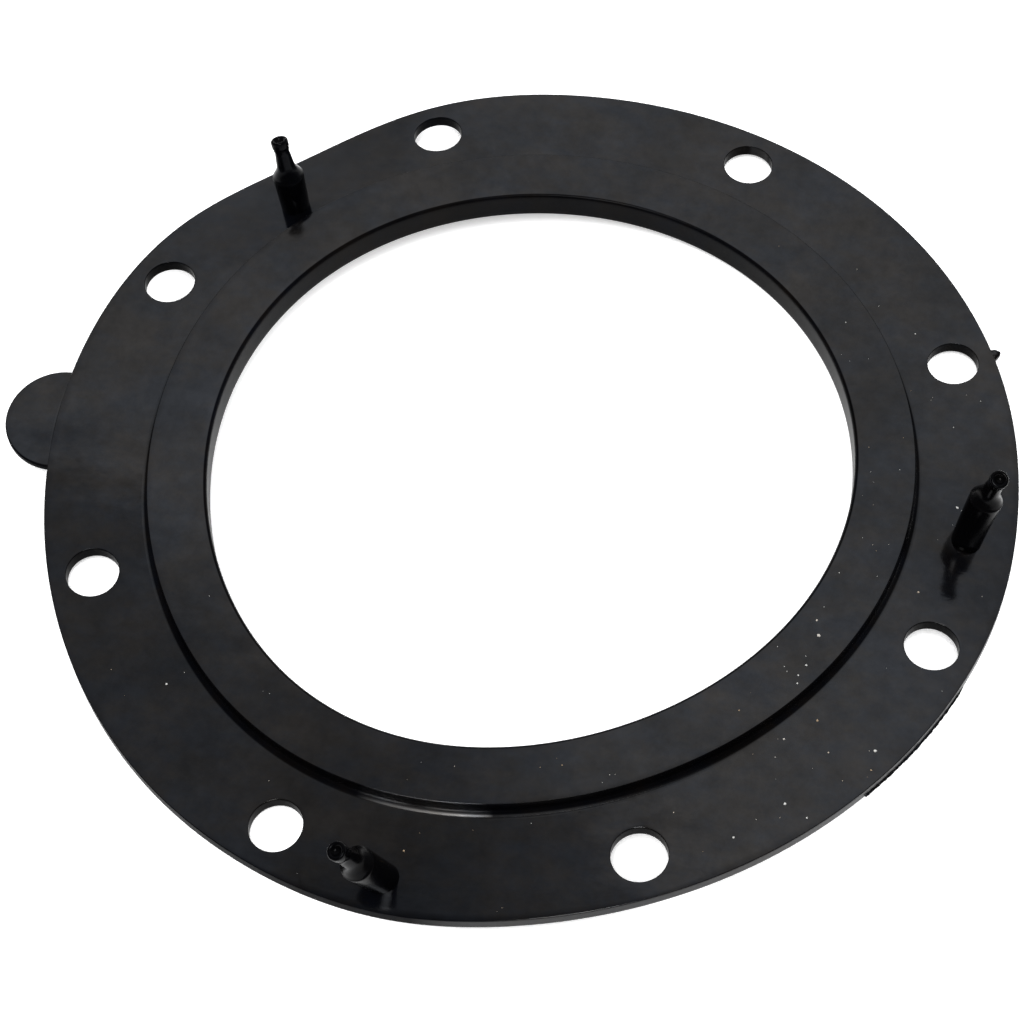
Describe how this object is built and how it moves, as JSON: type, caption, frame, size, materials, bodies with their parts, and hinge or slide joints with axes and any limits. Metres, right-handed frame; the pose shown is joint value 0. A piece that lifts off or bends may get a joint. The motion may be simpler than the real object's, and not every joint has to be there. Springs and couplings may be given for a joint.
{
  "type": "rubber flange gasket",
  "caption": "Round black rubber flange seal for a toilet: flat bolted web, raised sealing band round a wide bore, grip tab and stepped pull-through pegs.",
  "frame": {"origin": "middle of the whole gasket's box, at the level of the underside; the bore axis is parallel to Z and stands 4.6 mm towards +X because the grip tab lengthens the -X side", "axes": "+Z along the bore axis, from the flat underside towards the side the pegs stand on; the grip tab points along -X, so the bolt holes straddle the X and Y axes"},
  "size_m": [0.1878, 0.178, 0.021],
  "materials": {
    "web_rubber": "satin",
    "band_rubber": "satin",
    "peg_rubber": "glossy black"
  },
  "bodies": {
    "root": {"flange_web": "web_rubber", "sealing_band": "band_rubber", "grip_tab": "web_rubber", "retaining_peg_1": "peg_rubber", "retaining_peg_2": "peg_rubber", "retaining_peg_3": "peg_rubber"}
  },
  "joints": []
}
